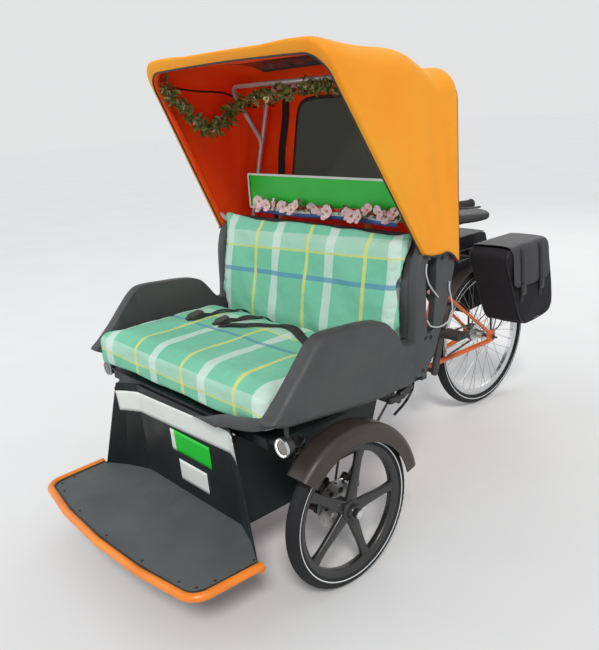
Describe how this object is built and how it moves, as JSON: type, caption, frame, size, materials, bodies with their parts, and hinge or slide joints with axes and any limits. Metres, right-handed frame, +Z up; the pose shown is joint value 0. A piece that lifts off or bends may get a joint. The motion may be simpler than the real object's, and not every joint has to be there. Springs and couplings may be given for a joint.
{
  "type": "cycle rickshaw",
  "caption": "Cycle rickshaw with a hooded bench for two between steered front wheels, and the rider's saddle, cranks and bags over one driven rear wheel.",
  "frame": {"origin": "on the floor, in the middle of the vehicle's length and width", "axes": "+Z up, the front faces -Y, the vehicle's left side is +X"},
  "size_m": [1.12, 2.3689, 1.632],
  "materials": {
    "bag_cloth": "woven",
    "belt_black": "woven",
    "black_metal": "satin black paint",
    "black_plastic": "satin",
    "bow_grey": "satin grey",
    "cable_grey": "satin",
    "chain_steel": "oiled",
    "clear_film": "clear film",
    "dark_steel": "satin black paint",
    "disc_steel": "brushed",
    "grey_plate": "anti-slip",
    "grip_rubber": "matte",
    "hood_orange": "coated cloth",
    "lamp_body": "black with clear lens",
    "orange_paint": "gloss orange paint",
    "panel_black": "satin",
    "plaid_cloth": "woven plaid",
    "rim_black": "gloss black",
    "saddle_black": "satin",
    "shell_grey": "fine grain",
    "sign_green": "satin green, blank",
    "silver_metal": "polished",
    "spring_steel": "gloss black",
    "tyre": "moulded rubber"
  },
  "bodies": {
    "frame": {"back_cushion": "plaid_cloth", "bench_frame": "orange_paint", "bracket_cables": "cable_grey", "carrier": "black_metal", "chain": "chain_steel", "footplate": "grey_plate", "footplate_tube": "orange_paint", "front_panel": "panel_black", "headlamps": "lamp_body", "hood_brackets": "shell_grey", "hood_cloth": "hood_orange", "hood_frame": "bow_grey", "main_frame": "orange_paint", "panniers": "bag_cloth", "rear_axle": "chain_steel", "rear_fender": "black_plastic", "rear_window": "clear_film", "saddle": "saddle_black", "seat_back_shell": "shell_grey", "seat_belts": "belt_black", "seat_cushion": "plaid_cloth", "seat_pan": "shell_grey", "seat_post": "black_metal", "seat_sides": "shell_grey", "shocks": "spring_steel", "side_walls": "panel_black", "sign_board": "sign_green", "suspension_arms": "dark_steel"},
    "knuckle_left": {"knuckle_left": "dark_steel", "caliper_left": "silver_metal", "fender_left": "black_plastic"},
    "knuckle_right": {"knuckle_right": "dark_steel", "caliper_right": "silver_metal", "fender_right": "black_plastic"},
    "wheel_left": {"front_rim_left": "rim_black", "front_tyre_left": "tyre", "brake_disc_left": "disc_steel"},
    "wheel_right": {"front_rim_right": "rim_black", "front_tyre_right": "tyre", "brake_disc_right": "disc_steel"},
    "rear_wheel": {"rear_rim": "silver_metal", "rear_tyre": "tyre"},
    "column": {"steering_column": "black_metal", "handlebar": "black_metal", "grips": "grip_rubber", "brake_levers": "black_metal"},
    "tie_rod": {"tie_rod": "dark_steel"},
    "drag_link": {"drag_link": "dark_steel"},
    "crank": {"crankset": "black_metal"},
    "pedal_left": {"pedal_left": "grip_rubber"},
    "pedal_right": {"pedal_right": "grip_rubber"}
  },
  "joints": [
    {"name": "steer_left", "type": "hinge", "parent": "frame", "child": "knuckle_left", "pos_m": [0.405, -0.5775, 0.25], "axis": [0, 0, 1], "range_deg": [-30, 30]},
    {"name": "steer_right", "type": "hinge", "parent": "frame", "child": "knuckle_right", "pos_m": [-0.405, -0.5775, 0.25], "axis": [0, 0, 1], "range_deg": [-30, 30]},
    {"name": "handlebar_steer", "type": "hinge", "parent": "frame", "child": "column", "pos_m": [0, 0.1525, 0.7], "axis": [0, 0, 1], "range_deg": [-30, 30]},
    {"name": "tie_rod_pivot", "type": "hinge", "parent": "knuckle_left", "child": "tie_rod", "pos_m": [0.405, -0.4975, 0.243], "axis": [0, 0, 1], "range_deg": [-30, 30]},
    {"name": "drag_link_pivot", "type": "hinge", "parent": "knuckle_left", "child": "drag_link", "pos_m": [0.405, -0.4975, 0.258], "axis": [0, 0, 1], "range_deg": [-30, 30]},
    {"name": "spin_left", "type": "hinge", "parent": "knuckle_left", "child": "wheel_left", "pos_m": [0.51, -0.5775, 0.25], "axis": [1, 0, 0], "continuous": true},
    {"name": "spin_right", "type": "hinge", "parent": "knuckle_right", "child": "wheel_right", "pos_m": [-0.51, -0.5775, 0.25], "axis": [1, 0, 0], "continuous": true},
    {"name": "rear_spin", "type": "hinge", "parent": "frame", "child": "rear_wheel", "pos_m": [0, 0.8485, 0.336], "axis": [1, 0, 0], "continuous": true},
    {"name": "crank_spin", "type": "hinge", "parent": "frame", "child": "crank", "pos_m": [0, 0.3925, 0.305], "axis": [1, 0, 0], "continuous": true},
    {"name": "pedal_left_spin", "type": "hinge", "parent": "crank", "child": "pedal_left", "pos_m": [0.146, 0.44279, 0.46948], "axis": [1, 0, 0], "continuous": true},
    {"name": "pedal_right_spin", "type": "hinge", "parent": "crank", "child": "pedal_right", "pos_m": [-0.146, 0.34221, 0.14052], "axis": [1, 0, 0], "continuous": true}
  ],
  "couplings": [
    {"joint": "steer_right", "follows": "steer_left", "ratio": 1},
    {"joint": "handlebar_steer", "follows": "steer_left", "ratio": 1},
    {"joint": "tie_rod_pivot", "follows": "steer_left", "ratio": -1},
    {"joint": "drag_link_pivot", "follows": "steer_left", "ratio": -1}
  ]
}
